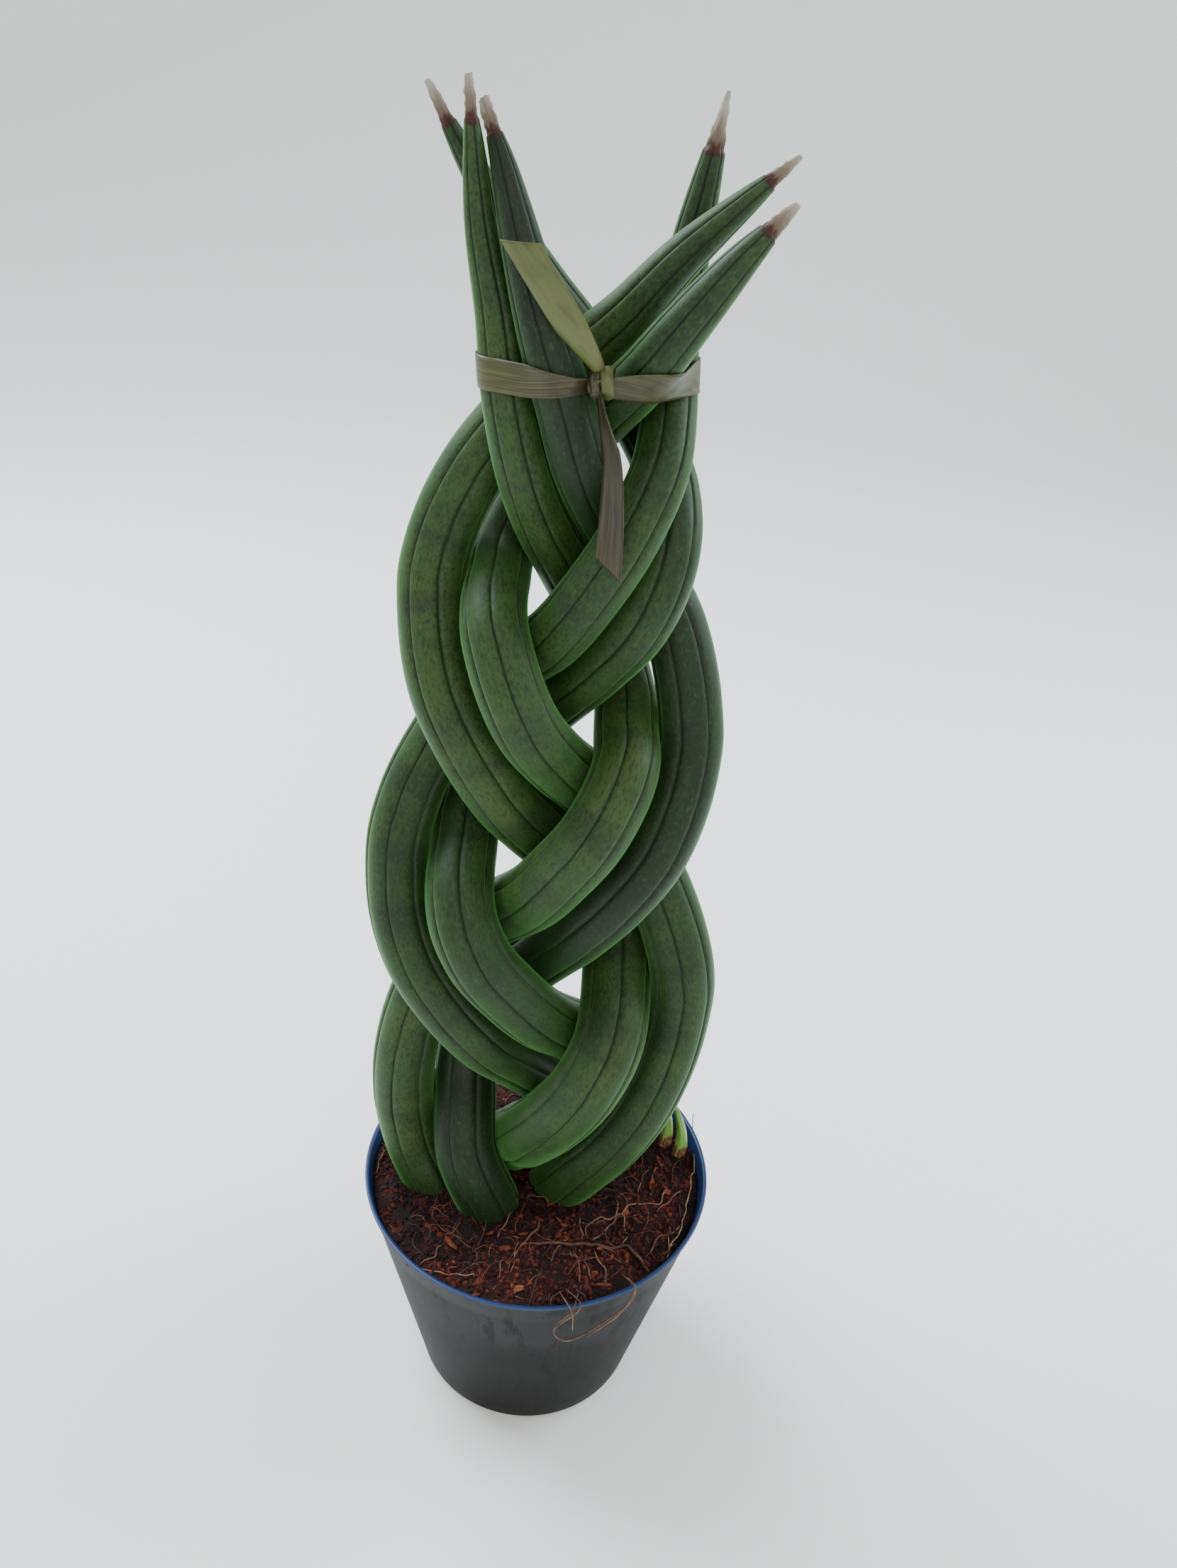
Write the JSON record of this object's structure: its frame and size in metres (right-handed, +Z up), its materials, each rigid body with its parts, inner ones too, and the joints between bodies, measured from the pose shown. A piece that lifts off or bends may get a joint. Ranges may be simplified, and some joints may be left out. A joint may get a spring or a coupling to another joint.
{
  "type": "potted twister snake plant",
  "caption": "Thin tapered nursery pot filled with coir soil, holding round grooved snake plant leaves braided together in pairs and tied near their tips with a flat ribbon.",
  "frame": {"origin": "middle of the pot's underside, which is the flat face that the part rests on", "axes": "+Z up along the braid, +Y to the back of the braid, so its flat front faces -Y, +X to the right as seen from the front"},
  "size_m": [0.12, 0.12, 0.418],
  "materials": {
    "pot_plastic": "thin moulded grey plastic with a blue inner side, stained and dusty",
    "coir_soil": "loose reddish brown coir with chips and pale root fibres",
    "leaf_green": "waxy matt leaf skin, mottled olive green, with darker grooves and papery tan tips",
    "tie_ribbon": "flat cream and green ribbon, lightly creased",
    "young_shoot": "bright green smooth young shoots"
  },
  "bodies": {
    "root": {"pot": "pot_plastic", "soil": "coir_soil", "leaf_a": "leaf_green", "leaf_b": "leaf_green", "leaf_c": "leaf_green", "leaf_d": "leaf_green", "leaf_e": "leaf_green", "leaf_f": "leaf_green", "ribbon": "tie_ribbon", "offset": "young_shoot"}
  },
  "joints": []
}
